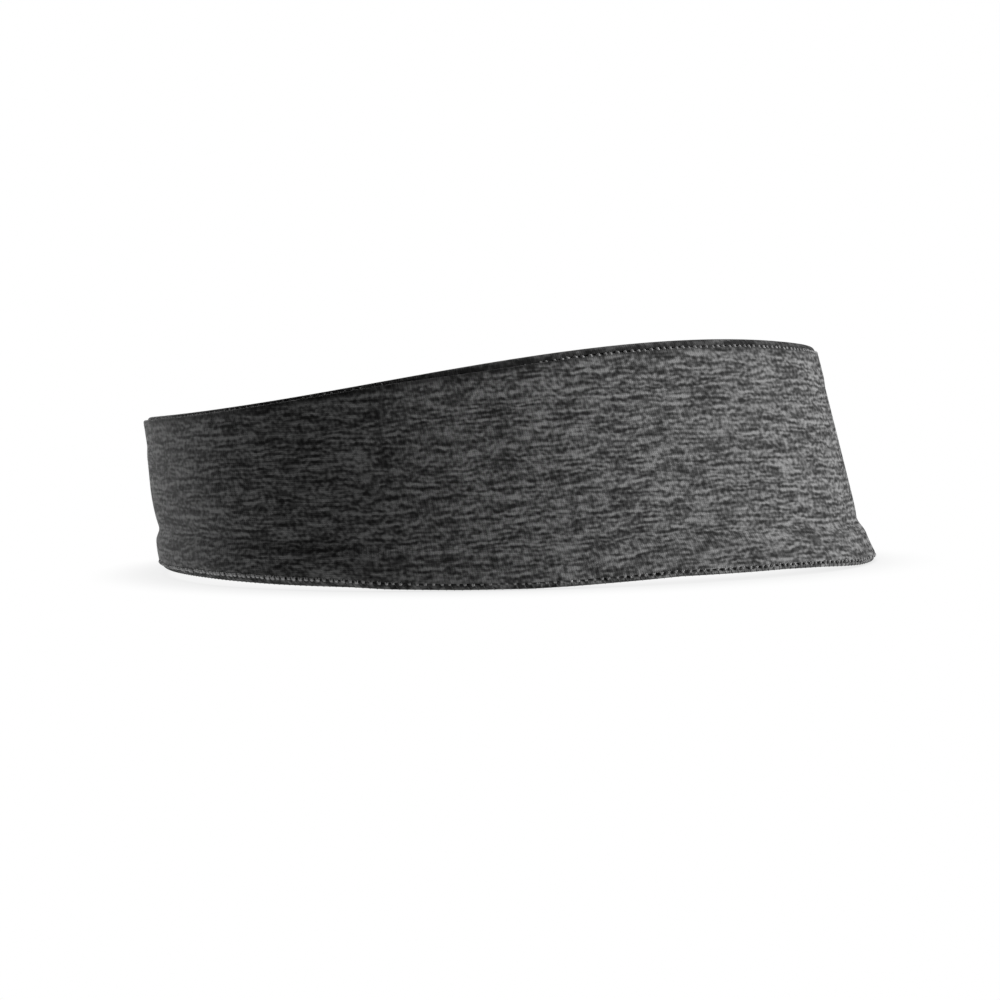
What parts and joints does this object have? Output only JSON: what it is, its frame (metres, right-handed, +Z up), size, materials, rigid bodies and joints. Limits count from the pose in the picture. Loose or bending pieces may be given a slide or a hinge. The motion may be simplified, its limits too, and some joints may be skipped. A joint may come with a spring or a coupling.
{
  "type": "sports headband",
  "caption": "Contoured stretch-jersey sports headband, tall over the forehead and lower at the nape, with the lining rolled over both edges and flat seams at the back.",
  "frame": {"origin": "centre of the lower opening, in the plane that the band rests on", "axes": "+Z up, as worn; +X towards the forehead; +Y towards the wearer's left"},
  "size_m": [0.1972, 0.1584, 0.0587],
  "materials": {
    "shell_jersey": "heathered black and grey stretch jersey, with fine streaks along the band",
    "lining_jersey": "the same heathered stretch jersey, a little darker",
    "needle_thread": "light grey spun polyester, in short stitches",
    "looper_thread": "dark grey textured polyester",
    "back_seam_thread": "dark grey textured polyester, in flat cover stitches",
    "label_ribbon": "off-white satin ribbon, blank"
  },
  "bodies": {
    "band": {"shell": "shell_jersey", "lining": "lining_jersey", "top_needle_thread": "needle_thread", "bottom_needle_thread": "needle_thread", "top_looper_thread": "looper_thread", "bottom_looper_thread": "looper_thread", "shell_back_seam_thread": "back_seam_thread", "lining_back_seam_thread": "back_seam_thread"},
    "label": {"care_label": "label_ribbon"}
  },
  "joints": [
    {"name": "label_fold", "type": "hinge", "parent": "band", "child": "label", "pos_m": [-0.09275, -0.0006, 0], "axis": [-0.1367, 0, 0.9906], "range_deg": [0, 140]}
  ]
}
